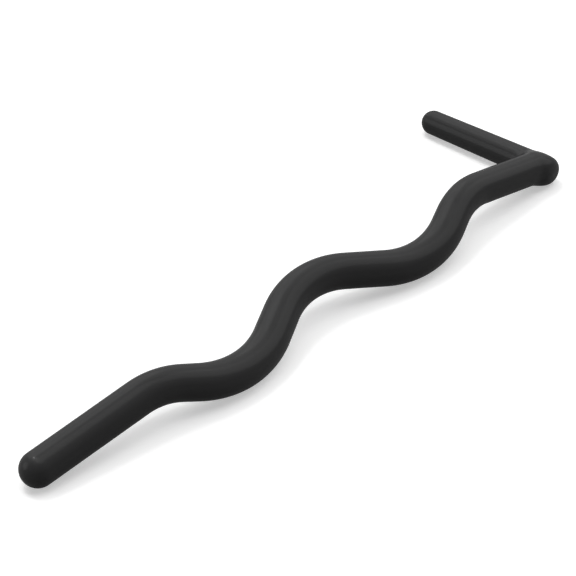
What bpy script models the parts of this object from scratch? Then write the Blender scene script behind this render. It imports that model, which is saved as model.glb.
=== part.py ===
# Wave bar with a cross handle: a bent steel rod and a straight handle rod, welded together and
# covered in rubber. It lies on the floor on its near dome, its two troughs and its handle.
#
# The bar runs along +X from its domed near end to the handle, the handle runs along +Y, and +Z is up.
# The origin is the centre of the whole object's footprint, on the floor.

import bpy
import bmesh
import math
from collections import namedtuple
from mathutils import Matrix, Vector

MM = 0.001

# Rubber outside of the bar
STRAIGHT_DIA = 30.0 * MM
NECK_DIA = 29.5 * MM

# Rubber outside of the handle, a straight taper between the centres of its two round ends
HANDLE_HEEL_DIA = 25.8 * MM
HANDLE_TIP_DIA = 23.2 * MM
HANDLE_TO_TIP = 129.4 * MM
HANDLE_TO_HEEL = 5.2 * MM
HEEL_DOME_DEPTH = 11.4 * MM

# The bar's centreline: straight runs between corners, each corner rounded by an arc.
# A corner's place is along the bar from the near dome's centre, and to the side, towards +Y.
Corner = namedtuple("Corner", "along side height bend_radius dia")
ON_FLOOR = None
CREST_1 = Corner(124.5 * MM, -5.0 * MM, 32.0 * MM, 83.5 * MM, 30.4 * MM)
TROUGH_1 = Corner(203.5 * MM, -34.5 * MM, ON_FLOOR, 99.0 * MM, 31.9 * MM)
CREST_2 = Corner(311.0 * MM, 16.5 * MM, 38.0 * MM, 93.5 * MM, 31.3 * MM)
TROUGH_2 = Corner(432.5 * MM, -29.5 * MM, ON_FLOOR, 97.5 * MM, 31.7 * MM)
CREST_3 = Corner(508.5 * MM, 0.0 * MM, 35.5 * MM, 83.0 * MM, 30.6 * MM)
WAVE = (CREST_1, TROUGH_1, CREST_2, TROUGH_2, CREST_3)
HANDLE_ALONG = 625.5 * MM
NECK_UNDERSIDE = 1.8 * MM

# Corner where the bar runs into the handle
BAR_END_INSET = 12.0 * MM
BLEND = 9.0 * MM
BOOT_ALONG_BAR = 34.0 * MM
BOOT_ALONG_HANDLE = 30.0 * MM
BOOT_GRAIN = 2.4 * MM

# Steel inside
BAR_CORE_DIA = 22.0 * MM
HANDLE_CORE_DIA = 16.0 * MM
COPE_DEPTH = 1.5 * MM
HEEL_COVER = 6.0 * MM
WELD_DIA = 6.0 * MM

# Domed caps and the studs moulded into them
CAP_SKIRT = 8.0 * MM
Stud = namedtuple("Stud", "thread_dia pitch into_core plate_dia plate_thick behind_face")
BAR_STUD = Stud(8.0 * MM, 1.25 * MM, 18.0 * MM, 15.0 * MM, 2.0 * MM, 11.0 * MM)
TIP_STUD = Stud(6.0 * MM, 1.0 * MM, 14.0 * MM, 11.0 * MM, 1.6 * MM, 8.0 * MM)
THREAD_DEPTH_PER_PITCH = 0.54
DRILL_POINT = 2.0 * MM

# Gap between pieces that touch
GAP = 0.3 * MM

# Fineness of the faceted shapes
BAR_SIDES = 28
CORE_SIDES = 20
HANDLE_SIDES = 28
DOME_RINGS = 7
BEND_STEP = math.radians(6.0)
WELD_SIDES = 10
WELD_STEPS = 18
WELD_PASSES = 5
THREAD_SIDES = 12
THREAD_RINGS_PER_PITCH = 3
FLOOR_PASSES = 12
BLEND_PASSES = 8

UP = Vector((0.0, 0.0, 1.0))
TINY = 0.01 * MM

Station = namedtuple("Station", "point tangent radius")
Arc = namedtuple("Arc", "middle end")


def clear_scene():
    for obj in list(bpy.data.objects):
        bpy.data.objects.remove(obj)


# The bar's route

def rounded_route(corners, bend_radii):
    """Points and tangents along straight runs joined by arcs, and where each arc's middle and end are."""
    places = [(corners[0], (corners[1] - corners[0]).normalized())]
    arcs = []
    for before, corner, after, bend_radius in zip(corners, corners[1:], corners[2:], bend_radii):
        along = (corner - before).normalized()
        onward = (after - corner).normalized()
        turn = along.angle(onward)
        axis = along.cross(onward).normalized()
        start = corner - along * bend_radius * math.tan(turn / 2)
        centre = start + axis.cross(along) * bend_radius
        half = max(2, math.ceil(turn / BEND_STEP / 2))
        arcs.append(Arc(middle=len(places) + half, end=len(places) + 2 * half))
        for step in range(2 * half + 1):
            swing = Matrix.Rotation(turn * step / (2 * half), 3, axis)
            places.append((centre + swing @ (start - centre), swing @ along))
    places.append((corners[-1], (corners[-1] - corners[-2]).normalized()))
    return places, arcs


def travelled(points):
    """Length along a route at each of its points."""
    lengths = [0.0]
    for here, there in zip(points, points[1:]):
        lengths.append(lengths[-1] + (there - here).length)
    return lengths


def eased(low, high, share):
    return low + (high - low) * share * share * (3 - 2 * share)


def outside_radii(places, arcs):
    """Outer radius at each point: the dome's, then each bend's at its middle, then the neck's."""
    lengths = travelled([point for point, _ in places])
    marks = [0, *(arc.middle for arc in arcs), arcs[-1].end, len(places) - 1]
    dias = [STRAIGHT_DIA, *(corner.dia for corner in WAVE), NECK_DIA, NECK_DIA]
    radii = []
    for index, length in enumerate(lengths):
        leg = max(k for k in range(len(marks) - 1) if marks[k] <= index)
        start, end = lengths[marks[leg]], lengths[marks[leg + 1]]
        radii.append(eased(dias[leg], dias[leg + 1], (length - start) / (end - start)) / 2)
    return radii


def bar_route():
    """Stations of the bar's centreline, with its two troughs let down until they touch the floor."""
    heights = [STRAIGHT_DIA / 2]
    heights += [corner.dia / 2 if corner.height is ON_FLOOR else corner.height for corner in WAVE]
    heights += [NECK_DIA / 2 + NECK_UNDERSIDE]
    alongs = [0.0, *(corner.along for corner in WAVE), HANDLE_ALONG]
    sides = [0.0, *(corner.side for corner in WAVE), 0.0]
    bend_radii = [corner.bend_radius for corner in WAVE]
    for _ in range(FLOOR_PASSES):
        corners = [Vector(place) for place in zip(alongs, sides, heights)]
        places, arcs = rounded_route(corners, bend_radii)
        radii = outside_radii(places, arcs)
        undersides = [
            point.z - radius * math.hypot(tangent.x, tangent.y)
            for (point, tangent), radius in zip(places, radii)
        ]
        for index, corner in enumerate(WAVE):
            if corner.height is ON_FLOOR:
                heights[index + 1] -= min(undersides[arcs[index - 1].end : arcs[index].end])
    return [Station(point, tangent, radius) for (point, tangent), radius in zip(places, radii)]


def with_radius(stations, radius):
    return [Station(point, tangent, radius) for point, tangent, _ in stations]


def station_at(stations, lengths, length):
    """The station at one length along the route."""
    after = next(index for index, reached in enumerate(lengths) if reached >= length - TINY)
    after = max(after, 1)
    here, there = stations[after - 1], stations[after]
    share = (length - lengths[after - 1]) / (lengths[after] - lengths[after - 1])
    return Station(
        here.point.lerp(there.point, share),
        here.tangent.lerp(there.tangent, share).normalized(),
        here.radius + (there.radius - here.radius) * share,
    )


def stretch(stations, start, end):
    """The part of a route between two lengths from its start, with a station at each end."""
    lengths = travelled([station.point for station in stations])
    inside = [
        station
        for station, length in zip(stations, lengths)
        if start + TINY < length < end - TINY
    ]
    return [station_at(stations, lengths, start), *inside, station_at(stations, lengths, end)]


ROUTE = bar_route()
BAR_LENGTH = travelled([station.point for station in ROUTE])[-1]
BAR_AXIS = ROUTE[-1].tangent
NEAR_AXIS = ROUTE[0].tangent

# The handle lies on the floor, so each of its points is as high as it is thick.
HEEL = Vector((HANDLE_ALONG, -HANDLE_TO_HEEL, HANDLE_HEEL_DIA / 2))
TIP = Vector((HANDLE_ALONG, HANDLE_TO_TIP, HANDLE_TIP_DIA / 2))
HANDLE_AXIS = (TIP - HEEL).normalized()
HANDLE_LENGTH = (TIP - HEEL).length


def on_handle(length):
    """Station of the handle's centreline, measured from the heel's centre towards the tip."""
    share = length / HANDLE_LENGTH
    radius = (HANDLE_HEEL_DIA + (HANDLE_TIP_DIA - HANDLE_HEEL_DIA) * share) / 2
    return Station(HEEL + HANDLE_AXIS * length, HANDLE_AXIS, radius)


# Where pieces meet: lengths from the near dome's centre, or from the heel's centre
BOOT_START = BAR_LENGTH - BOOT_ALONG_BAR
BOOT_STOP = HANDLE_TO_HEEL + BOOT_ALONG_HANDLE
TIP_CAP_START = HANDLE_LENGTH - CAP_SKIRT
HEEL_CORE_END = HEEL_COVER - HEEL_DOME_DEPTH
BAR_CORE_END = BAR_LENGTH - HANDLE_CORE_DIA / 2 + COPE_DEPTH


# Solids from rings of points

def ring_frames(stations):
    """Two directions across the route at each station, carried along it without twisting."""
    across = UP.cross(stations[0].tangent).normalized()
    frames = []
    before = stations[0].tangent
    for station in stations:
        across = before.rotation_difference(station.tangent) @ across
        across = (across - station.tangent * across.dot(station.tangent)).normalized()
        frames.append((across, station.tangent.cross(across)))
        before = station.tangent
    return frames


def circle(station, frame, sides, radius):
    across, upward = frame
    return [
        station.point + (across * math.cos(angle) + upward * math.sin(angle)) * radius
        for angle in (2 * math.pi * side / sides for side in range(sides))
    ]


def rings_along(stations, sides):
    return [
        circle(station, frame, sides, station.radius)
        for station, frame in zip(stations, ring_frames(stations))
    ]


def lofted(name, rings, closed=False):
    """A mesh object through rings of equal counts. It is capped at both ends, or joined end to start."""
    mesh = bpy.data.meshes.new(name)
    build = bmesh.new()
    loops = [[build.verts.new(point) for point in ring] for ring in rings]
    pairs = list(zip(loops, loops[1:]))
    if closed:
        pairs.append((loops[-1], loops[0]))
    for low, high in pairs:
        count = len(low)
        for side in range(count):
            after = (side + 1) % count
            build.faces.new((low[side], low[after], high[after], high[side]))
    if not closed:
        build.faces.new(list(reversed(loops[0])))
        build.faces.new(loops[-1])
    bmesh.ops.recalc_face_normals(build, faces=build.faces)
    build.to_mesh(mesh)
    build.free()
    obj = bpy.data.objects.new(name, mesh)
    bpy.context.scene.collection.objects.link(obj)
    return obj


def rod(name, stations, sides):
    return lofted(name, rings_along(stations, sides))


def tube(name, stations, bore_radius, sides):
    """A sleeve: outer rings one way and bore rings back, so that its ends are flat."""
    outer = rings_along(stations, sides)
    inner = rings_along(with_radius(stations, bore_radius), sides)
    return lofted(name, outer + inner[::-1], closed=True)


def straight(start, axis, length, radius):
    return [Station(start, axis, radius), Station(start + axis * length, axis, radius)]


def domed_stations(centre, axis, radius, rings):
    """Rings of a half ball whose pole points back along the axis, from near the pole to its rim."""
    stations = []
    for ring in range(rings + 1):
        angle = math.pi / 2 * (ring + 0.5) / (rings + 0.5)
        stations.append(Station(centre - axis * radius * math.cos(angle), axis, radius * math.sin(angle)))
    return stations


# Cutting and joining

def as_cutter(obj):
    obj.hide_render = True
    obj.display_type = "WIRE"
    return obj


def boolean(obj, other, operation):
    modifier = obj.modifiers.new(f"{operation.lower()}_{other.name}", "BOOLEAN")
    modifier.operation = operation
    modifier.solver = "EXACT"
    modifier.object = as_cutter(other)
    return obj


def cut(obj, *cutters):
    for cutter in cutters:
        boolean(obj, cutter, "DIFFERENCE")
    return obj


def evaluated_copy(name, source):
    """A plain mesh object of what a modified object comes to."""
    graph = bpy.context.evaluated_depsgraph_get()
    mesh = bpy.data.meshes.new_from_object(source.evaluated_get(graph))
    obj = bpy.data.objects.new(name, mesh)
    bpy.context.scene.collection.objects.link(obj)
    return obj


def finish(obj, colour, roughness, metallic, sharp_angle=math.radians(35)):
    material = bpy.data.materials.new(obj.name)
    material.use_nodes = True
    shader = material.node_tree.nodes["Principled BSDF"]
    shader.inputs["Base Color"].default_value = (*colour, 1.0)
    shader.inputs["Roughness"].default_value = roughness
    shader.inputs["Metallic"].default_value = metallic
    obj.data.materials.clear()
    obj.data.materials.append(material)
    obj.data.shade_smooth()
    obj.data.set_sharp_from_angle(angle=sharp_angle)
    return obj


def rubber(obj):
    return finish(obj, (0.022, 0.022, 0.023), 0.6, 0.0)


def steel(obj):
    return finish(obj, (0.45, 0.46, 0.48), 0.35, 1.0)


# The junction's outer surface: the bar's round end and the handle run into each other

def distance_to_taper(point, start, end, start_radius, end_radius, start_depth):
    """Distance from a tapered rod with a dome at each end. The start's dome may be a flattened one."""
    axis = end - start
    share = (point - start).dot(axis) / axis.length_squared
    if share < 0:
        past = axis * share
        return (point - start - past + past * (start_radius / start_depth)).length - start_radius
    share = min(1.0, share)
    radius = start_radius + (end_radius - start_radius) * share
    return (point - start - axis * share).length - radius


def blend_height(point):
    """Signed height over the junction's surface, with the corner between bar and handle filled."""
    bar_end = ROUTE[-1].point - BAR_AXIS * BAR_END_INSET
    bar_start = ROUTE[-1].point - BAR_AXIS * 2 * BOOT_ALONG_BAR
    neck = NECK_DIA / 2
    heel = HANDLE_HEEL_DIA / 2
    over_bar = distance_to_taper(point, bar_start, bar_end, neck, neck, neck)
    over_handle = distance_to_taper(point, HEEL, TIP, heel, HANDLE_TIP_DIA / 2, HEEL_DOME_DEPTH)
    share = max(BLEND - abs(over_bar - over_handle), 0.0) / BLEND
    return min(over_bar, over_handle) - share * share * BLEND / 4


def slid_onto_blend(point):
    """The point moved along the surface's slope until it lies on it."""
    probe = 0.01 * MM
    for _ in range(BLEND_PASSES):
        height = blend_height(point)
        slope = Vector([
            (blend_height(point + step) - blend_height(point - step)) / (2 * probe)
            for step in (Vector((probe, 0, 0)), Vector((0, probe, 0)), Vector((0, 0, probe)))
        ])
        point = point - slope * height / max(slope.length_squared, 0.1)
    return point


def junction_form():
    """The blended junction, longer on both arms than the boot is."""
    bar_arm = straight(
        ROUTE[-1].point - BAR_AXIS * 1.6 * BOOT_ALONG_BAR,
        BAR_AXIS,
        1.6 * BOOT_ALONG_BAR - BAR_END_INSET,
        NECK_DIA / 2,
    )
    handle_arm = straight(
        HEEL - HANDLE_AXIS * HANDLE_HEEL_DIA / 4,
        HANDLE_AXIS,
        HANDLE_HEEL_DIA / 4 + BOOT_STOP + BOOT_ALONG_HANDLE,
        HANDLE_HEEL_DIA / 2,
    )
    rough = rod("junction_rough", bar_arm, BAR_SIDES)
    boolean(rough, rod("junction_rough_handle", handle_arm, HANDLE_SIDES), "UNION")
    remesh = rough.modifiers.new("even_grain", "REMESH")
    remesh.mode = "VOXEL"
    remesh.voxel_size = BOOT_GRAIN
    form = evaluated_copy("junction_boot", rough)
    as_cutter(rough)
    for vertex in form.data.vertices:
        vertex.co = slid_onto_blend(vertex.co)
    return form


def weld_path(radius, overrun=0.0):
    """Stations of the bead: where the bar's rod, going straight on, runs into the handle's rod.

    A bar's rod that is thicker than the handle's passes under it, and the bead then stays its own
    radius short of the handle's middle.
    """
    across = UP.cross(BAR_AXIS).normalized()
    upward = BAR_AXIS.cross(across)
    start = ROUTE[-1].point - BAR_AXIS * BAR_END_INSET
    bar_radius = BAR_CORE_DIA / 2
    handle_radius = HANDLE_CORE_DIA / 2
    points = []
    for step in range(WELD_STEPS + 1):
        angle = math.pi * step / WELD_STEPS
        outline = start + across * bar_radius * math.cos(angle) - upward * bar_radius * math.sin(angle)
        point = outline
        for _ in range(WELD_PASSES):
            drop = point.z - HEEL.z
            reach = math.sqrt(max(handle_radius ** 2 - drop ** 2, WELD_DIA ** 2 / 4))
            point = outline + BAR_AXIS * ((HANDLE_ALONG - reach - outline.x) / BAR_AXIS.x)
        points.append(point)
    stations = []
    for index, point in enumerate(points):
        before, after = points[max(index - 1, 0)], points[min(index + 1, WELD_STEPS)]
        stations.append(Station(point, (after - before).normalized(), radius))
    first, last = stations[0], stations[-1]
    stations[0] = Station(first.point - first.tangent * overrun, first.tangent, radius)
    stations[-1] = Station(last.point + last.tangent * overrun, last.tangent, radius)
    return stations


# The pieces

def make_bar_core():
    start = CAP_SKIRT + GAP
    stations = with_radius(stretch(ROUTE, start, BAR_CORE_END), BAR_CORE_DIA / 2)
    core = rod("bar_core", stations, CORE_SIDES)
    saddle_radius = HANDLE_CORE_DIA / 2 + GAP
    saddle = straight(HEEL - HANDLE_AXIS * BAR_CORE_DIA, HANDLE_AXIS, 3 * BAR_CORE_DIA, saddle_radius)
    tapped = stud_hole("bar_core_tapping", ROUTE[0].point + NEAR_AXIS * CAP_SKIRT, NEAR_AXIS, BAR_STUD)
    return steel(cut(core, rod("bar_core_saddle", saddle, CORE_SIDES), tapped))


def stud_hole(name, face, axis, stud):
    """The cutter of a tapped hole: it starts outside the rod's end face and ends in a drill point."""
    radius = stud.thread_dia / 2 + GAP
    depth = stud.into_core + GAP
    stations = [
        Station(face - axis * DRILL_POINT, axis, radius),
        Station(face + axis * depth, axis, radius),
        Station(face + axis * (depth + DRILL_POINT), axis, radius / 4),
    ]
    return rod(name, stations, THREAD_SIDES)


def make_handle_core():
    start = on_handle(HEEL_CORE_END).point
    length = TIP_CAP_START - GAP - HEEL_CORE_END
    core = rod("handle_core", straight(start, HANDLE_AXIS, length, HANDLE_CORE_DIA / 2), CORE_SIDES)
    face = on_handle(TIP_CAP_START).point
    return steel(cut(core, stud_hole("handle_core_tapping", face, -HANDLE_AXIS, TIP_STUD)))


def make_weld():
    bead = rod("junction_weld", weld_path(WELD_DIA / 2), WELD_SIDES)
    bar_rod = straight(
        ROUTE[-1].point - BAR_AXIS * BOOT_ALONG_BAR,
        BAR_AXIS,
        BOOT_ALONG_BAR,
        BAR_CORE_DIA / 2 + GAP,
    )
    handle_rod = straight(
        on_handle(-BAR_CORE_DIA).point, HANDLE_AXIS, 3 * BAR_CORE_DIA, HANDLE_CORE_DIA / 2 + GAP
    )
    cutters = [
        rod("weld_bar_side", bar_rod, CORE_SIDES),
        rod("weld_handle_side", handle_rod, CORE_SIDES),
    ]
    return steel(cut(bead, *cutters))


def make_boot():
    boot = junction_form()
    bar_clear = straight(
        ROUTE[-1].point - BAR_AXIS * 3 * BOOT_ALONG_BAR,
        BAR_AXIS,
        3 * BOOT_ALONG_BAR + BAR_CORE_END - BAR_LENGTH + GAP,
        BAR_CORE_DIA / 2 + GAP,
    )
    handle_clear = straight(
        on_handle(HEEL_CORE_END - GAP).point,
        HANDLE_AXIS,
        HANDLE_LENGTH,
        HANDLE_CORE_DIA / 2 + GAP,
    )
    past_boot = 4 * BOOT_ALONG_BAR
    bar_trim = straight(
        ROUTE[-1].point - BAR_AXIS * (BOOT_ALONG_BAR + past_boot), BAR_AXIS, past_boot, STRAIGHT_DIA
    )
    handle_trim = straight(on_handle(BOOT_STOP).point, HANDLE_AXIS, HANDLE_LENGTH, HANDLE_HEEL_DIA)
    cutters = [
        rod("boot_bar_hollow", bar_clear, CORE_SIDES),
        rod("boot_handle_hollow", handle_clear, CORE_SIDES),
        rod("boot_weld_hollow", weld_path(WELD_DIA / 2 + GAP, GAP), WELD_SIDES),
        rod("boot_bar_trim", bar_trim, 4),
        rod("boot_handle_trim", handle_trim, 4),
    ]
    return rubber(cut(boot, *cutters))


def make_bar_sleeve():
    stations = stretch(ROUTE, CAP_SKIRT + GAP, BOOT_START - GAP)
    return rubber(tube("bar_sleeve", stations, BAR_CORE_DIA / 2 + GAP, BAR_SIDES))


def make_handle_sleeve():
    stations = [on_handle(BOOT_STOP + GAP), on_handle(TIP_CAP_START - GAP)]
    return rubber(tube("handle_sleeve", stations, HANDLE_CORE_DIA / 2 + GAP, HANDLE_SIDES))


def make_cap(name, centre, axis, dome_radius, rim_radius, stud, sides):
    """A domed end cap. The axis points from the dome into the object."""
    stations = domed_stations(centre, axis, dome_radius, DOME_RINGS)
    stations.append(Station(centre + axis * CAP_SKIRT, axis, rim_radius))
    cap = rod(name, stations, sides)
    face = centre + axis * CAP_SKIRT
    head = face - axis * stud.behind_face
    shank = straight(head, axis, 2 * stud.behind_face, stud.thread_dia / 2 + GAP)
    plate = straight(head - axis * GAP, axis, stud.plate_thick + 2 * GAP, stud.plate_dia / 2 + GAP)
    cutters = [
        rod(f"{name}_shank_hollow", shank, THREAD_SIDES),
        rod(f"{name}_plate_hollow", plate, sides),
    ]
    return rubber(cut(cap, *cutters))


def make_stud(name, face, axis, stud):
    """A threaded stud with a round head plate. The face is the cap's flat face, the axis points in."""
    head = face - axis * stud.behind_face
    length = stud.behind_face + stud.into_core
    depth = stud.pitch * THREAD_DEPTH_PER_PITCH
    start = stud.plate_thick
    plain = stud.behind_face
    rings_wanted = round((length - plain) / stud.pitch) * THREAD_RINGS_PER_PITCH
    stations = [
        Station(head, axis, stud.plate_dia / 2),
        Station(head + axis * start, axis, stud.plate_dia / 2),
        Station(head + axis * start, axis, stud.thread_dia / 2 - depth),
        Station(head + axis * plain, axis, stud.thread_dia / 2 - depth),
    ]
    rings = rings_along(stations, THREAD_SIDES)
    across, upward = ring_frames(stations)[0]
    for ring in range(1, rings_wanted):
        along = plain + (length - plain) * ring / rings_wanted
        points = []
        for side in range(THREAD_SIDES):
            angle = 2 * math.pi * side / THREAD_SIDES
            phase = (along / stud.pitch - side / THREAD_SIDES) % 1.0
            radius = stud.thread_dia / 2 - depth * abs(2 * phase - 1)
            outward = across * math.cos(angle) + upward * math.sin(angle)
            points.append(head + axis * along + outward * radius)
        rings.append(points)
    end = Station(head + axis * length, axis, stud.thread_dia / 2 - depth)
    rings.append(circle(end, (across, upward), THREAD_SIDES, end.radius))
    return steel(lofted(name, rings))


def stand_on_origin(pieces):
    """Moves every piece so that the footprint's centre lies on the origin."""
    graph = bpy.context.evaluated_depsgraph_get()
    corners = []
    for piece in pieces:
        mesh = piece.evaluated_get(graph).to_mesh()
        corners += [vertex.co.copy() for vertex in mesh.vertices]
    low = [min(corner[axis] for corner in corners) for axis in range(3)]
    high = [max(corner[axis] for corner in corners) for axis in range(3)]
    centre = Vector(((low[0] + high[0]) / 2, (low[1] + high[1]) / 2, low[2]))
    base = bpy.data.objects.new("footprint_centre", None)
    bpy.context.scene.collection.objects.link(base)
    for obj in bpy.data.objects:
        if obj is not base:
            obj.parent = base
    base.location = -centre
    print("footprint centre in the drawing's frame, mm", [round(value / MM, 3) for value in centre])


def main():
    clear_scene()
    near_face = ROUTE[0].point + NEAR_AXIS * CAP_SKIRT
    tip_face = on_handle(TIP_CAP_START).point
    near_rim = stretch(ROUTE, 0.0, CAP_SKIRT)[-1].radius
    tip_rim = on_handle(TIP_CAP_START).radius
    pieces = [
        make_bar_core(),
        make_handle_core(),
        make_weld(),
        make_bar_sleeve(),
        make_boot(),
        make_handle_sleeve(),
        make_cap("bar_end_cap", ROUTE[0].point, NEAR_AXIS, STRAIGHT_DIA / 2, near_rim, BAR_STUD, BAR_SIDES),
        make_stud("bar_end_stud", near_face, NEAR_AXIS, BAR_STUD),
        make_cap("handle_tip_cap", TIP, -HANDLE_AXIS, HANDLE_TIP_DIA / 2, tip_rim, TIP_STUD, HANDLE_SIDES),
        make_stud("handle_tip_stud", tip_face, -HANDLE_AXIS, TIP_STUD),
    ]
    bpy.context.view_layer.update()
    stand_on_origin(pieces)


main()
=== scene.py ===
# The looks of the wave bar with a cross handle: one seamless rubber covering over the steel rods,
# lying on a plain pale floor in soft studio light.

import math
from collections import namedtuple

import bmesh
import bpy
import numpy as np
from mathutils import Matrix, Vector


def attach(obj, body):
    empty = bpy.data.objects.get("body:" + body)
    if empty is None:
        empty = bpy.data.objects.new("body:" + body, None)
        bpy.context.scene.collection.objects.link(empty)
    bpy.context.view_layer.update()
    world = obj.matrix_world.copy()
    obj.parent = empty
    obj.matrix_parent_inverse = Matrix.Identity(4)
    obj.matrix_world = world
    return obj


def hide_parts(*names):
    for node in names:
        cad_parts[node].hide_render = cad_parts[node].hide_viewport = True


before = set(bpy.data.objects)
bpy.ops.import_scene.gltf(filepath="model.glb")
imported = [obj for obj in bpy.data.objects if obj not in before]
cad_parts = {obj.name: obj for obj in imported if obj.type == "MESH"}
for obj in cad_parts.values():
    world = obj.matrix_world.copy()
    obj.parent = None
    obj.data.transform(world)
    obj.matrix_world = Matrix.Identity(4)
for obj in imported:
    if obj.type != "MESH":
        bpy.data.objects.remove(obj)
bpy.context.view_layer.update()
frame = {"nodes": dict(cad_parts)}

MM = 0.001
UP = Vector((0.0, 0.0, 1.0))

# The covering's sizes. The drawing starts at the near dome's centre: the bar runs along X, the handle
# along Y, and the floor is at height 0. The part's own origin is the centre of its footprint, at its
# lowest point, which is 0.1 mm under that floor.
PART_ORIGIN = Vector((311.696, 50.229, -0.102)) * MM
STRAIGHT_DIA = 30.0 * MM
NECK_DIA = 30.0 * MM
HANDLE_HEEL_DIA = 25.8 * MM
HANDLE_TIP_DIA = 23.2 * MM
HANDLE_TO_TIP = 129.4 * MM
HANDLE_TO_HEEL = 5.2 * MM
HANDLE_ALONG = 625.5 * MM
HEEL_DOME_DEPTH = 10.8 * MM

# A dome whose power is 2 has a round outline, and a higher power makes the outline squarer
ROUND_DOME_POWER = 2.0
HEEL_DOME_POWER = 2.6

# The corner: how high the neck's underside is, how far the bar's middle line stops short of the
# handle's, and how wide the fill between the two is
NECK_UNDERSIDE = 1.0 * MM
BAR_END_INSET = 14.0 * MM
BLEND = 13.0 * MM

# The wave's corners, each rounded by a bend. A trough is let down to the floor in passes, by the
# lowest of a number of points on its underside.
Corner = namedtuple("Corner", "along side height bend_radius dia")
ON_FLOOR = None
WAVE = (
    Corner(124.5 * MM, -5.0 * MM, 32.0 * MM, 83.5 * MM, 30.4 * MM),
    Corner(203.5 * MM, -34.5 * MM, ON_FLOOR, 99.0 * MM, 31.9 * MM),
    Corner(311.0 * MM, 16.5 * MM, 38.0 * MM, 93.5 * MM, 31.3 * MM),
    Corner(432.5 * MM, -29.5 * MM, ON_FLOOR, 97.5 * MM, 31.7 * MM),
    Corner(508.5 * MM, 0.0 * MM, 35.5 * MM, 83.0 * MM, 30.6 * MM),
)
FLOOR_PASSES = 12
FLOOR_SAMPLES = 25

# The covering's mesh: a coarse cage, refined and then laid on the true surface in passes
CAGE_SIDES = 8
CAGE_STEP = 18.0 * MM
CAGE_LEVELS = 4
SURFACE_PASSES = 10

# How far out a round dome's last ring is, as a share of the dome's radius
DOME_RING = 0.72

# The rings next to the corner: how far the bar's last one is from the handle's middle line, and how
# far those of the handle are from the bar's middle line, towards the heel and towards the tip
BAR_CAGE_STOP = 24.0 * MM
HEEL_RING = 12.5 * MM
CORNER_RING = 20.0 * MM

# The camera, from where the photograph was taken, with the lens and the sensor in millimetres
CAMERA_AZIMUTH = math.radians(312.88)
CAMERA_ELEVATION = math.radians(33.24)
CAMERA_PLACE = Vector((-1251.4, -1184.73, 1137.75)) * MM
CAMERA_LENS = 150.0
SENSOR_WIDTH = 36.0
CAMERA_NEAREST = 0.05
CAMERA_FARTHEST = 50.0

# The picture's frame is shifted by parts of a pixel, where a pixel is a share of the picture's width
PIXEL = 1 / 576
SHIFT_RIGHT = -0.5 * PIXEL
SHIFT_UP = 0.18 * PIXEL

# Soft lamps over, beside and beyond the object, as the camera sees it, with their angles in degrees.
# Each one's share of the floor's light is given, and together they light a level white surface just
# to white. How far off a lamp stands makes no difference to its light.
Lamp = namedtuple("Lamp", "azimuth elevation spread share")
LAMPS = (
    Lamp(180.0, 58.0, 45.0, 0.14),
    Lamp(175.0, 66.0, 10.0, 0.14),
    Lamp(45.0, 80.0, 40.0, 0.21),
    Lamp(67.5, 38.0, 45.0, 0.14),
    Lamp(225.0, 80.0, 40.0, 0.12),
    Lamp(157.5, 38.0, 45.0, 0.11),
    Lamp(225.0, 20.0, 36.0, 0.07),
    Lamp(112.5, 38.0, 45.0, 0.07),
)
LAMP_DISTANCE = 3.0

# The floor gives the object the light of a plain grey. The camera and reflections see it paler and
# with a glow of its own, so that it comes out white, with soft shadows about as light as the
# photograph's.
FLOOR_HALF_SIZE = 25.0
FLOOR_PLAIN = 0.15
FLOOR_SEEN = 0.79
FLOOR_SEEN_GLOW = 0.46
WHITE = (1.0, 1.0, 1.0, 1.0)

# Rubber: its sheen is a thin, rough coat. Its mottle is mostly slow clouds and partly fine grain, and
# lies mostly between the two values given.
RUBBER_DARK = (0.0350, 0.0350, 0.0355)
RUBBER_PALE = (0.0380, 0.0380, 0.0385)
RUBBER_ROUGHNESS = (0.45, 0.55)
RUBBER_SHEEN = 0.18
RUBBER_SHEEN_ROUGHNESS = 0.20
CLOUD_SIZE = 35.0 * MM
CLOUD_SHARE = 0.6
MOTTLE_LOW = 0.3
MOTTLE_HIGH = 0.7
GRAIN_SIZE = 0.6 * MM
GRAIN_DEPTH = 0.01 * MM
WAVINESS_SIZE = 9.0 * MM
WAVINESS_DEPTH = 0.01 * MM

# Drawn steel rod: fine marks, twenty times as long as wide, and broad patches of another grey
ROD_DARK = (0.36, 0.36, 0.37)
ROD_PALE = (0.50, 0.51, 0.53)
ROD_ROUGHNESS = (0.28, 0.46)
ROD_PATCH_SIZE = 12.0 * MM
ROD_MARK_WIDTH = 0.4 * MM
ROD_MARK_DEPTH = 0.02 * MM
ALONG_X = (0.05, 1.0, 1.0)
ALONG_Y = (1.0, 0.05, 1.0)

# Weld bead: ripples and heat stains
WELD_STAINED = (0.24, 0.21, 0.20)
WELD_CLEAN = (0.40, 0.40, 0.42)
WELD_ROUGHNESS = (0.45, 0.70)
WELD_STAIN_SIZE = 5.0 * MM
WELD_RIPPLE_SIZE = 1.6 * MM
WELD_RIPPLE_DEPTH = 0.25 * MM

# Zinc plating: small pale spangles
ZINC_DARK = (0.50, 0.52, 0.53)
ZINC_PALE = (0.64, 0.64, 0.62)
ZINC_ROUGHNESS = (0.30, 0.42)
SPANGLE_SIZE = 1.2 * MM
SPANGLE_DEPTH = 0.01 * MM


# The bar's route: straight legs joined by round bends

# A leg starts at from_length on the route. A bend's origin is its centre, and outward points from
# there to its start.
Leg = namedtuple("Leg", "from_length length origin along outward bend_radius")


def straight_leg(from_length, start, end):
    """A straight leg between two places."""
    along = end - start
    return Leg(from_length, along.length, start, along.normalized(), None, None)


def bend_leg(from_length, start, along, centre, turn):
    """A bend that starts in the direction along and turns round its centre by an angle."""
    outward = start - centre
    radius = outward.length
    return Leg(from_length, turn * radius, centre, along, outward / radius, radius)


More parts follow.
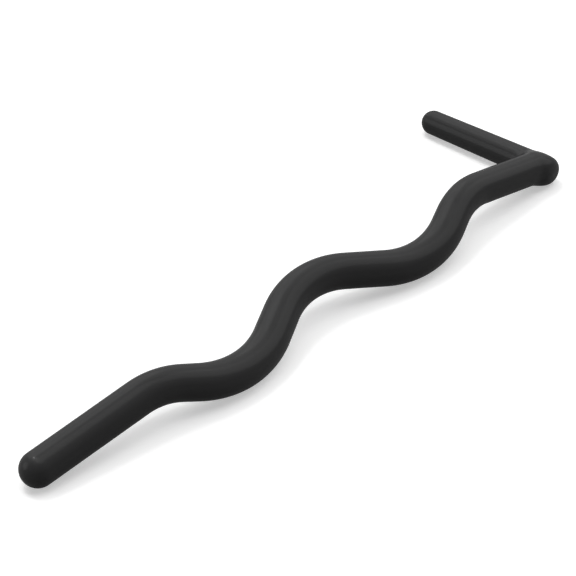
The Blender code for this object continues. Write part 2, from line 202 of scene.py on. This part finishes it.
def legs_through(corners, bend_radii):
    """Legs from the first corner to the last, with every corner between them rounded by a bend."""
    legs = []
    place = corners[0]
    travelled = 0.0
    for before, corner, after, bend_radius in zip(corners, corners[1:], corners[2:], bend_radii):
        along = (corner - before).normalized()
        onward = (after - corner).normalized()
        turn = along.angle(onward)
        cut = bend_radius * math.tan(turn / 2)
        start = corner - along * cut
        legs.append(straight_leg(travelled, place, start))
        travelled += legs[-1].length
        axis = along.cross(onward).normalized()
        legs.append(bend_leg(travelled, start, along, start + axis.cross(along) * bend_radius, turn))
        travelled += legs[-1].length
        place = corner + onward * cut
    legs.append(straight_leg(travelled, place, corners[-1]))
    return legs


def place_on(leg, travel):
    """Point and direction of the route at a distance from the leg's start."""
    if leg.bend_radius is None:
        return leg.origin + leg.along * travel, leg.along
    angle = travel / leg.bend_radius
    point = leg.origin + (leg.outward * math.cos(angle) + leg.along * math.sin(angle)) * leg.bend_radius
    return point, leg.along * math.cos(angle) - leg.outward * math.sin(angle)


def diameter_marks(legs):
    """Lengths at which the bar's diameter is given, and those diameters."""
    bends = [leg for leg in legs if leg.bend_radius is not None]
    marks = [0.0, *(bend.from_length + bend.length / 2 for bend in bends)]
    marks += [legs[-1].from_length, legs[-1].from_length + legs[-1].length]
    dias = [STRAIGHT_DIA, *(corner.dia for corner in WAVE), NECK_DIA, NECK_DIA]
    return np.array(marks), np.array(dias)


def radius_at(lengths, marks, dias):
    """The bar's outer radius, which eases from each given diameter to the next."""
    span = np.clip(np.searchsorted(marks, lengths, side="right") - 1, 0, len(marks) - 2)
    share = np.clip((lengths - marks[span]) / (marks[span + 1] - marks[span]), 0.0, 1.0)
    return (dias[span] + (dias[span + 1] - dias[span]) * share * share * (3 - 2 * share)) / 2


def bar_route():
    """The legs, with the two troughs let down until they touch the floor, and the diameters."""
    heights = [STRAIGHT_DIA / 2]
    heights += [corner.dia / 2 if corner.height is ON_FLOOR else corner.height for corner in WAVE]
    heights += [NECK_DIA / 2 + NECK_UNDERSIDE]
    alongs = [0.0, *(corner.along for corner in WAVE), HANDLE_ALONG]
    sides = [0.0, *(corner.side for corner in WAVE), 0.0]
    bend_radii = [corner.bend_radius for corner in WAVE]
    for _ in range(FLOOR_PASSES):
        corners = [Vector(place) for place in zip(alongs, sides, heights)]
        legs = legs_through(corners, bend_radii)
        marks, dias = diameter_marks(legs)
        for index, corner in enumerate(WAVE):
            if corner.height is not ON_FLOOR:
                continue
            bend = legs[2 * index + 1]
            undersides = []
            for travel in np.linspace(0.0, bend.length, FLOOR_SAMPLES):
                point, tangent = place_on(bend, travel)
                radius = float(radius_at(bend.from_length + travel, marks, dias))
                undersides.append(point.z - radius * math.hypot(tangent.x, tangent.y))
            heights[index + 1] -= min(undersides)
    return legs, marks, dias


LEGS, DIAMETER_MARKS, DIAMETERS = bar_route()
BAR_LENGTH = LEGS[-1].from_length + LEGS[-1].length
HEEL = Vector((HANDLE_ALONG, -HANDLE_TO_HEEL, HANDLE_HEEL_DIA / 2))
TIP = Vector((HANDLE_ALONG, HANDLE_TO_TIP, HANDLE_TIP_DIA / 2))
HANDLE_AXIS = (TIP - HEEL).normalized()
HANDLE_LENGTH = (TIP - HEEL).length


def bar_place(length):
    """Point and direction of the bar's middle at a length from the near dome's centre."""
    leg = next((leg for leg in LEGS if length < leg.from_length + leg.length), LEGS[-1])
    return place_on(leg, length - leg.from_length)


# The covering's true surface, worked out for whole arrays of points

def over_bar(points):
    """Height of each point over the bar's surface, and the direction straight away from it."""
    best = np.full(len(points), np.inf)
    lengths = np.zeros(len(points))
    away = np.zeros_like(points)
    for leg in LEGS:
        reach = leg.length - (BAR_END_INSET if leg is LEGS[-1] else 0.0)
        offset = points - np.array(leg.origin)
        along = np.array(leg.along)
        if leg.bend_radius is None:
            travel = np.clip(offset @ along, 0.0, reach)
            nearest = travel[:, None] * along
        else:
            outward = np.array(leg.outward)
            turn = np.arctan2(offset @ along, offset @ outward)
            angle = np.clip(turn, 0.0, reach / leg.bend_radius)
            travel = angle * leg.bend_radius
            towards = np.cos(angle)[:, None] * outward + np.sin(angle)[:, None] * along
            nearest = towards * leg.bend_radius
        distance = np.linalg.norm(offset - nearest, axis=1)
        closer = distance < best
        best[closer] = distance[closer]
        lengths[closer] = leg.from_length + travel[closer]
        away[closer] = (offset - nearest)[closer]
    return best - radius_at(lengths, DIAMETER_MARKS, DIAMETERS), away / best[:, None]


def over_handle(points):
    """The same over the handle, a tapered rod with a blunt dome at its heel and a round one at its tip.

    The direction is that in which the height grows fastest.
    """
    axis = np.array(HANDLE_AXIS)
    offset = points - np.array(HEEL)
    along = offset @ axis
    across = offset - along[:, None] * axis
    width = np.linalg.norm(across, axis=1)
    heel_radius = HANDLE_HEEL_DIA / 2
    growth = (HANDLE_TIP_DIA - HANDLE_HEEL_DIA) / 2 / HANDLE_LENGTH
    flatten = heel_radius / HEEL_DOME_DEPTH
    before = along < 0
    past = along > HANDLE_LENGTH
    axial = np.where(before, along * flatten, np.where(past, along - HANDLE_LENGTH, 0.0))
    power = np.where(before, HEEL_DOME_POWER, ROUND_DOME_POWER)
    reach = (width ** power + abs(axial) ** power) ** (1 / power)
    height = reach - (heel_radius + growth * np.clip(along, 0.0, HANDLE_LENGTH))
    sideways = (width / reach) ** (power - 2) / reach
    steepness = np.sign(axial) * (abs(axial) / reach) ** (power - 1) * np.where(before, flatten, 1.0)
    steepness = np.where(before | past, steepness, -growth)
    return height, across * sideways[:, None] + steepness[:, None] * axis


def laid_on_surface(points):
    """The points moved onto the surface of the bar and the handle.

    The corner between the two is filled where their heights are less than BLEND apart, and nothing
    is left below the floor.
    """
    for _ in range(SURFACE_PASSES):
        bar_height, bar_slope = over_bar(points)
        handle_height, handle_slope = over_handle(points)
        share = np.clip(BLEND - abs(bar_height - handle_height), 0.0, None) / BLEND
        height = np.minimum(bar_height, handle_height) - share * share * BLEND / 4
        handle_part = np.where(bar_height < handle_height, share / 2, 1 - share / 2)[:, None]
        slope = bar_slope * (1 - handle_part) + handle_slope * handle_part
        points = points - slope * (height / (slope * slope).sum(axis=1))[:, None]
    points[:, 2] = np.maximum(points[:, 2], PART_ORIGIN.z)
    return points


# The covering's cage: rings of points along the bar and the handle

def cage_ring(cage, centre, tangent, radius, leave_out=()):
    """A ring's points, from its level side 0 round over its top. Those left out are None."""
    across = UP.cross(tangent).normalized()
    upward = tangent.cross(across)
    ring = []
    for side in range(CAGE_SIDES):
        angle = 2 * math.pi * side / CAGE_SIDES
        point = centre + (across * math.cos(angle) + upward * math.sin(angle)) * radius
        ring.append(None if side in leave_out else cage.verts.new(point))
    return ring


def join_rings(cage, low, high):
    """A face on each side between two rings, except where a corner is left out."""
    for side in range(CAGE_SIDES):
        onward = (side + 1) % CAGE_SIDES
        corners = (low[side], low[onward], high[onward], high[side])
        if None not in corners:
            cage.faces.new(corners)


def close_ring(cage, ring, pole):
    """Four-sided faces from a dome's last ring to its pole."""
    top = cage.verts.new(pole)
    for side in range(0, CAGE_SIDES, 2):
        cage.faces.new((ring[side], ring[side + 1], ring[(side + 2) % CAGE_SIDES], top))


def even_steps(start, end):
    """Distances from start to end in equal steps of about the cage's."""
    return np.linspace(start, end, max(2, round((end - start) / CAGE_STEP) + 1))


def bar_rings(cage):
    """The bar's rings, closed at the near dome. The last one is short of the handle."""
    point, tangent = bar_place(0.0)
    radius = STRAIGHT_DIA / 2
    depth = radius * DOME_RING
    rings = [cage_ring(cage, point - tangent * depth, tangent, math.sqrt(radius ** 2 - depth ** 2))]
    close_ring(cage, rings[0], point - tangent * radius)
    for length in even_steps(0.0, BAR_LENGTH - BAR_CAGE_STOP):
        point, tangent = bar_place(length)
        rings.append(cage_ring(cage, point, tangent, radius))
    for low, high in zip(rings, rings[1:]):
        join_rings(cage, low, high)
    return rings


def handle_rings(cage):
    """The handle's rings, closed at both domes.

    Side 0 faces the bar. The ring opposite the bar's middle has no point there, which leaves an
    opening of four faces for the bar.
    """
    def on_handle(length, radius, leave_out=()):
        return cage_ring(cage, HEEL + HANDLE_AXIS * length, HANDLE_AXIS, radius, leave_out)

    heel_radius = HANDLE_HEEL_DIA / 2
    tip_radius = HANDLE_TIP_DIA / 2
    heel_depth = HEEL_RING - HANDLE_TO_HEEL
    heel_ring = on_handle(-heel_depth, heel_radius * math.sqrt(1 - (heel_depth / HEEL_DOME_DEPTH) ** 2))
    middle_ring = on_handle(HANDLE_TO_HEEL, heel_radius, leave_out=(0,))
    rings = [heel_ring, middle_ring]
    for length in even_steps(HANDLE_TO_HEEL + CORNER_RING, HANDLE_LENGTH):
        rings.append(on_handle(length, tip_radius))
    tip_depth = tip_radius * DOME_RING
    rings.append(on_handle(HANDLE_LENGTH + tip_depth, math.sqrt(tip_radius ** 2 - tip_depth ** 2)))
    close_ring(cage, heel_ring[::-1], HEEL - HANDLE_AXIS * HEEL_DOME_DEPTH)
    close_ring(cage, rings[-1], TIP + HANDLE_AXIS * tip_radius)
    for low, high in zip(rings, rings[1:]):
        join_rings(cage, low, high)
    return rings


def opening_for_bar(rings):
    """The eight points round the handle's opening, in the order of the points of the bar's ring."""
    heel_ring, middle_ring, corner_ring = rings[:3]
    return [
        corner_ring[0], corner_ring[1], middle_ring[1], heel_ring[1],
        heel_ring[0], heel_ring[-1], middle_ring[-1], corner_ring[-1],
    ]


def make_covering():
    """The rubber covering as one closed skin of even four-sided faces."""
    cage = bmesh.new()
    bar_end = bar_rings(cage)[-1]
    opening = opening_for_bar(handle_rings(cage))
    join_rings(cage, bar_end, opening)
    bmesh.ops.recalc_face_normals(cage, faces=cage.faces)
    cage_mesh = bpy.data.meshes.new("covering_cage")
    cage.to_mesh(cage_mesh)
    cage.free()
    covering = bpy.data.objects.new("rubber_covering", cage_mesh)
    bpy.context.scene.collection.objects.link(covering)
    refine = covering.modifiers.new("refine", "SUBSURF")
    refine.levels = refine.render_levels = CAGE_LEVELS
    bpy.context.view_layer.update()
    graph = bpy.context.evaluated_depsgraph_get()
    mesh = bpy.data.meshes.new_from_object(covering.evaluated_get(graph))
    covering.modifiers.clear()
    covering.data = mesh
    bpy.data.meshes.remove(cage_mesh)
    places = np.empty(len(mesh.vertices) * 3)
    mesh.vertices.foreach_get("co", places)
    laid = laid_on_surface(places.reshape(-1, 3)) - np.array(PART_ORIGIN)
    mesh.vertices.foreach_set("co", laid.ravel())
    mesh.shade_smooth()
    mesh.update()
    return covering


# Materials

class Nodes:
    """A material and short calls that add its nodes."""

    def __init__(self, name):
        self.material = bpy.data.materials.new(name)
        self.material.use_nodes = True
        self.tree = self.material.node_tree
        self.shader = self.tree.nodes["Principled BSDF"]
        self.place = self.add("ShaderNodeTexCoord").outputs["Object"]

    def add(self, kind, **settings):
        node = self.tree.nodes.new(kind)
        for name, value in settings.items():
            setattr(node, name, value)
        return node

    def feed(self, socket, value):
        """Links an input to another node's output, or sets it to a plain value."""
        if isinstance(value, bpy.types.NodeSocket):
            self.tree.links.new(value, socket)
        else:
            socket.default_value = value

    def shade(self, name, value):
        """The same for one of the shader's own inputs."""
        self.feed(self.shader.inputs[name], value)

    def noise(self, size, detail=2.0, roughness=0.5, stretch=(1.0, 1.0, 1.0)):
        """Noise with features of about the given size, in metres, as a value from 0 to 1."""
        mapping = self.add("ShaderNodeMapping")
        self.feed(mapping.inputs["Vector"], self.place)
        self.feed(mapping.inputs["Scale"], stretch)
        node = self.add("ShaderNodeTexNoise")
        self.feed(node.inputs["Vector"], mapping.outputs["Vector"])
        self.feed(node.inputs["Scale"], 1.0 / size)
        self.feed(node.inputs["Detail"], detail)
        self.feed(node.inputs["Roughness"], roughness)
        return node.outputs["Fac"]

    def between(self, value, low, high, from_low=0.0, from_high=1.0):
        """The value, spread from its own range to another one."""
        node = self.add("ShaderNodeMapRange")
        self.feed(node.inputs["Value"], value)
        self.feed(node.inputs["From Min"], from_low)
        self.feed(node.inputs["From Max"], from_high)
        self.feed(node.inputs["To Min"], low)
        self.feed(node.inputs["To Max"], high)
        return node.outputs["Result"]

    def blend(self, share, low, high):
        """A colour between two others, by a share from 0 to 1."""
        node = self.add("ShaderNodeMix", data_type="RGBA")
        self.feed(node.inputs["Factor"], share)
        self.feed(node.inputs["A"], (*low, 1.0))
        self.feed(node.inputs["B"], (*high, 1.0))
        return node.outputs["Result"]

    def calculate(self, operation, first, second):
        node = self.add("ShaderNodeMath", operation=operation)
        self.feed(node.inputs[0], first)
        self.feed(node.inputs[1], second)
        return node.outputs["Value"]

    def bump(self, height, depth, before=None):
        """A normal from a height of 0 to 1, which stands for the given depth in metres."""
        node = self.add("ShaderNodeBump")
        self.feed(node.inputs["Height"], height)
        self.feed(node.inputs["Distance"], depth)
        self.feed(node.inputs["Strength"], 1.0)
        if before is not None:
            self.feed(node.inputs["Normal"], before)
        return node.outputs["Normal"]


def rubber_material():
    """Matt black rubber: a fine moulded grain, faintly cloudy in colour and in roughness."""
    nodes = Nodes("matt_black_rubber")
    cloud = nodes.noise(CLOUD_SIZE, detail=3.0)
    grain = nodes.noise(GRAIN_SIZE, detail=2.0, roughness=0.6)
    waviness = nodes.noise(WAVINESS_SIZE, detail=1.0)
    clouds = nodes.calculate("MULTIPLY", cloud, CLOUD_SHARE)
    mottle = nodes.calculate("ADD", clouds, nodes.calculate("MULTIPLY", grain, 1 - CLOUD_SHARE))
    pale = nodes.between(mottle, 0.0, 1.0, MOTTLE_LOW, MOTTLE_HIGH)
    nodes.shade("Base Color", nodes.blend(pale, RUBBER_DARK, RUBBER_PALE))
    nodes.shade("Roughness", nodes.between(mottle, *RUBBER_ROUGHNESS, MOTTLE_LOW, MOTTLE_HIGH))
    nodes.shade("Metallic", 0.0)
    nodes.shade("Specular IOR Level", 0.0)
    nodes.shade("Coat Weight", RUBBER_SHEEN)
    nodes.shade("Coat Roughness", RUBBER_SHEEN_ROUGHNESS)
    relief = nodes.bump(grain, GRAIN_DEPTH, nodes.bump(waviness, WAVINESS_DEPTH))
    nodes.shade("Normal", relief)
    nodes.shade("Coat Normal", relief)
    return nodes.material


def finish_metal(nodes, colour, marks, roughness, depth):
    """Makes the shader bare metal, with marks that vary its roughness and stand out by a depth."""
    nodes.shade("Base Color", colour)
    nodes.shade("Metallic", 1.0)
    nodes.shade("Roughness", nodes.between(marks, *roughness))
    nodes.shade("Normal", nodes.bump(marks, depth))
    return nodes.material


def rod_steel_material(name, stretch):
    """Drawn steel rod, with its fine marks stretched along its main direction."""
    nodes = Nodes(name)
    marks = nodes.noise(ROD_MARK_WIDTH, detail=3.0, stretch=stretch)
    patches = nodes.noise(ROD_PATCH_SIZE, detail=4.0)
    colour = nodes.blend(patches, ROD_DARK, ROD_PALE)
    return finish_metal(nodes, colour, marks, ROD_ROUGHNESS, ROD_MARK_DEPTH)


def weld_steel_material():
    """Weld bead: dull, rippled and heat-stained."""
    nodes = Nodes("weld_bead_steel")
    ripple = nodes.noise(WELD_RIPPLE_SIZE, detail=2.0)
    stain = nodes.noise(WELD_STAIN_SIZE, detail=3.0)
    colour = nodes.blend(stain, WELD_STAINED, WELD_CLEAN)
    return finish_metal(nodes, colour, ripple, WELD_ROUGHNESS, WELD_RIPPLE_DEPTH)


def stud_steel_material():
    """Zinc-plated stud: pale, satin and slightly mottled."""
    nodes = Nodes("zinc_plated_steel")
    spangle = nodes.noise(SPANGLE_SIZE, detail=2.0)
    colour = nodes.blend(spangle, ZINC_DARK, ZINC_PALE)
    return finish_metal(nodes, colour, spangle, ZINC_ROUGHNESS, SPANGLE_DEPTH)


def dress(obj, material):
    """Gives the whole object one material."""
    obj.data.materials.clear()
    obj.data.materials.append(material)


# Floor, light and camera

def seen_ray(tree):
    """1 for rays that show the background, from the camera or in a reflection or glass, otherwise 0."""
    paths = tree.nodes.new("ShaderNodeLightPath")
    seen = paths.outputs["Is Camera Ray"]
    for name in ("Is Glossy Ray", "Is Transmission Ray"):
        either = tree.nodes.new("ShaderNodeMath")
        either.operation = "MAXIMUM"
        tree.links.new(seen, either.inputs[0])
        tree.links.new(paths.outputs[name], either.inputs[1])
        seen = either.outputs["Value"]
    return seen


def make_floor():
    """A plain matt floor that is seen as white, with soft shadows, as in the photograph."""
    mesh = bpy.data.meshes.new("studio_floor")
    half = FLOOR_HALF_SIZE
    corners = [(-half, -half, 0.0), (half, -half, 0.0), (half, half, 0.0), (-half, half, 0.0)]
    mesh.from_pydata(corners, [], [(0, 1, 2, 3)])
    floor = bpy.data.objects.new("studio_floor", mesh)
    bpy.context.scene.collection.objects.link(floor)
    nodes = Nodes("pale_floor")
    seen = seen_ray(nodes.tree)
    nodes.shade("Base Color", nodes.blend(seen, (FLOOR_PLAIN,) * 3, (FLOOR_SEEN,) * 3))
    nodes.shade("Emission Color", WHITE)
    nodes.shade("Emission Strength", nodes.calculate("MULTIPLY", seen, FLOOR_SEEN_GLOW))
    nodes.shade("Roughness", 1.0)
    nodes.shade("Specular IOR Level", 0.0)
    dress(floor, nodes.material)


def make_world():
    """White air behind the floor, for the camera and reflections only."""
    world = bpy.data.worlds.new("studio_air")
    bpy.context.scene.world = world
    world.use_nodes = True
    background = world.node_tree.nodes["Background"]
    background.inputs["Color"].default_value = WHITE
    world.node_tree.links.new(seen_ray(world.node_tree), background.inputs["Strength"])


def view_direction(azimuth, elevation):
    """From the object towards a camera or a lamp. Azimuth 0 is the front, a quarter turn the right."""
    level = math.cos(elevation)
    return Vector((math.sin(azimuth) * level, -math.cos(azimuth) * level, math.sin(elevation)))


def make_lamp(name, lamp):
    """A broad far lamp. The lower it stands, the stronger it is for the same share of light."""
    azimuth = math.radians(lamp.azimuth)
    elevation = math.radians(lamp.elevation)
    towards = view_direction(azimuth, elevation)
    light = bpy.data.lights.new(name, "SUN")
    light.angle = math.radians(lamp.spread)
    light.energy = math.pi * lamp.share / math.sin(elevation)
    sun = bpy.data.objects.new(name, light)
    sun.location = towards * LAMP_DISTANCE
    sun.rotation_mode = "QUATERNION"
    sun.rotation_quaternion = towards.to_track_quat("Z", "Y")
    bpy.context.scene.collection.objects.link(sun)


def make_camera():
    """The camera, which looks along the photograph's line of sight."""
    data = bpy.data.cameras.new("photo_camera")
    data.lens = CAMERA_LENS
    data.sensor_width = SENSOR_WIDTH
    data.shift_x = SHIFT_RIGHT
    data.shift_y = SHIFT_UP
    data.clip_start = CAMERA_NEAREST
    data.clip_end = CAMERA_FARTHEST
    camera = bpy.data.objects.new("photo_camera", data)
    camera.location = CAMERA_PLACE
    looking = -view_direction(CAMERA_AZIMUTH, CAMERA_ELEVATION)
    camera.rotation_mode = "QUATERNION"
    camera.rotation_quaternion = looking.to_track_quat("-Z", "Y")
    bpy.context.scene.collection.objects.link(camera)
    bpy.context.scene.camera = camera


def main():
    covering = make_covering()
    dress(covering, rubber_material())
    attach(covering, "root")
    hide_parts("bar_sleeve", "junction_boot", "handle_sleeve", "bar_end_cap", "handle_tip_cap")

    nodes = frame["nodes"]
    stud_steel = stud_steel_material()
    dress(nodes["bar_core"], rod_steel_material("drawn_bar_steel", ALONG_X))
    dress(nodes["handle_core"], rod_steel_material("drawn_handle_steel", ALONG_Y))
    dress(nodes["junction_weld"], weld_steel_material())
    dress(nodes["bar_end_stud"], stud_steel)
    dress(nodes["handle_tip_stud"], stud_steel)

    make_floor()
    make_world()
    for index, lamp in enumerate(LAMPS):
        make_lamp(f"soft_lamp_{index + 1}", lamp)
    make_camera()
    bpy.context.scene.view_settings.view_transform = "Standard"


main()
